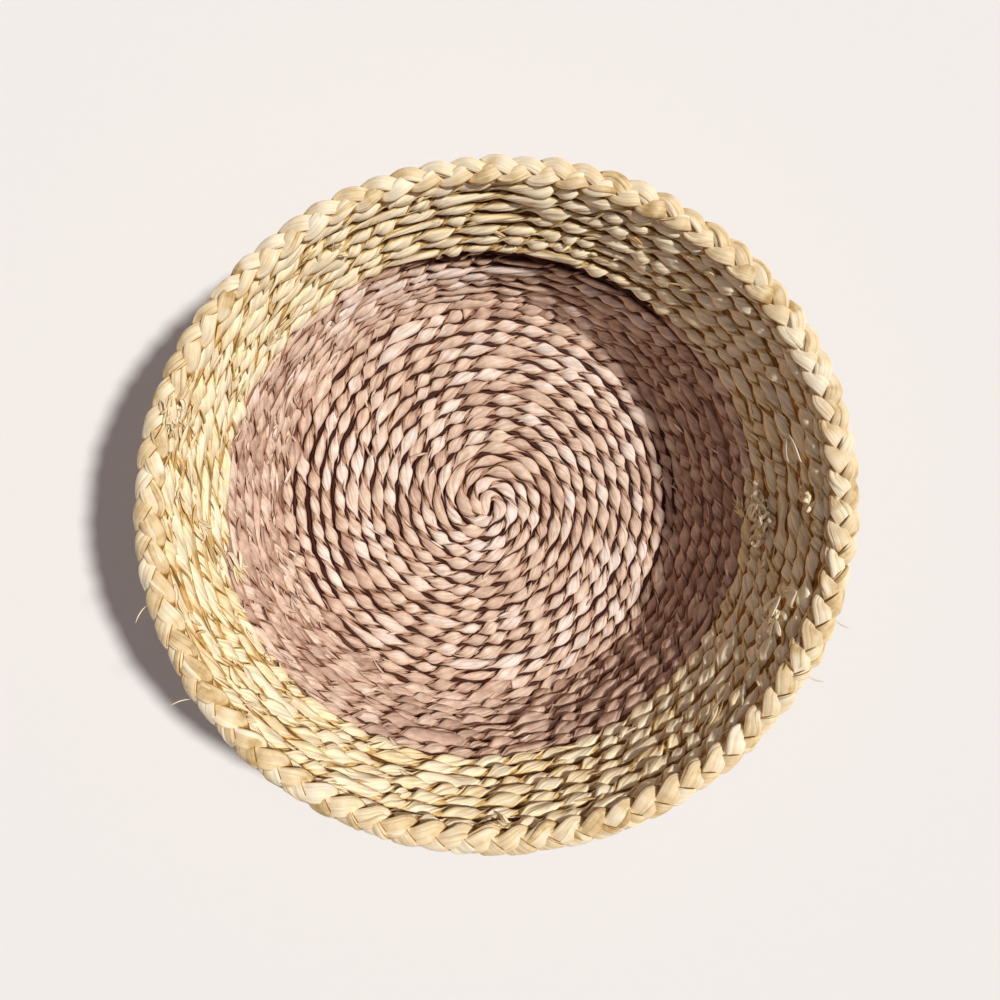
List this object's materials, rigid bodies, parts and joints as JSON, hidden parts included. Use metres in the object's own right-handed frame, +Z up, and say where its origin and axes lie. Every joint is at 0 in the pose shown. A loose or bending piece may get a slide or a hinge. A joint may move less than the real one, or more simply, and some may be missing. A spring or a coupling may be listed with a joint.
{
  "type": "basket",
  "caption": "Low round basket of coiled twisted seagrass cord, flared, dyed below and natural above, with a plaited rim.",
  "frame": {"origin": "centre of the base, on the plane the basket stands on", "axes": "+Z up out of the mouth, +X along the mouth's slightly longer axis, +Y across it"},
  "size_m": [0.4042, 0.3846, 0.1278],
  "materials": {
    "mauve_cord": "matte",
    "natural_cord": "matte",
    "plait_strand": "matte"
  },
  "bodies": {
    "root": {"base_cord_1": "mauve_cord", "base_cord_2": "mauve_cord", "lower_side_cord_1": "mauve_cord", "lower_side_cord_2": "mauve_cord", "upper_side_cord_1": "natural_cord", "upper_side_cord_2": "natural_cord", "rim_strand_1": "plait_strand", "rim_strand_2": "plait_strand", "rim_strand_3": "plait_strand"}
  },
  "joints": []
}
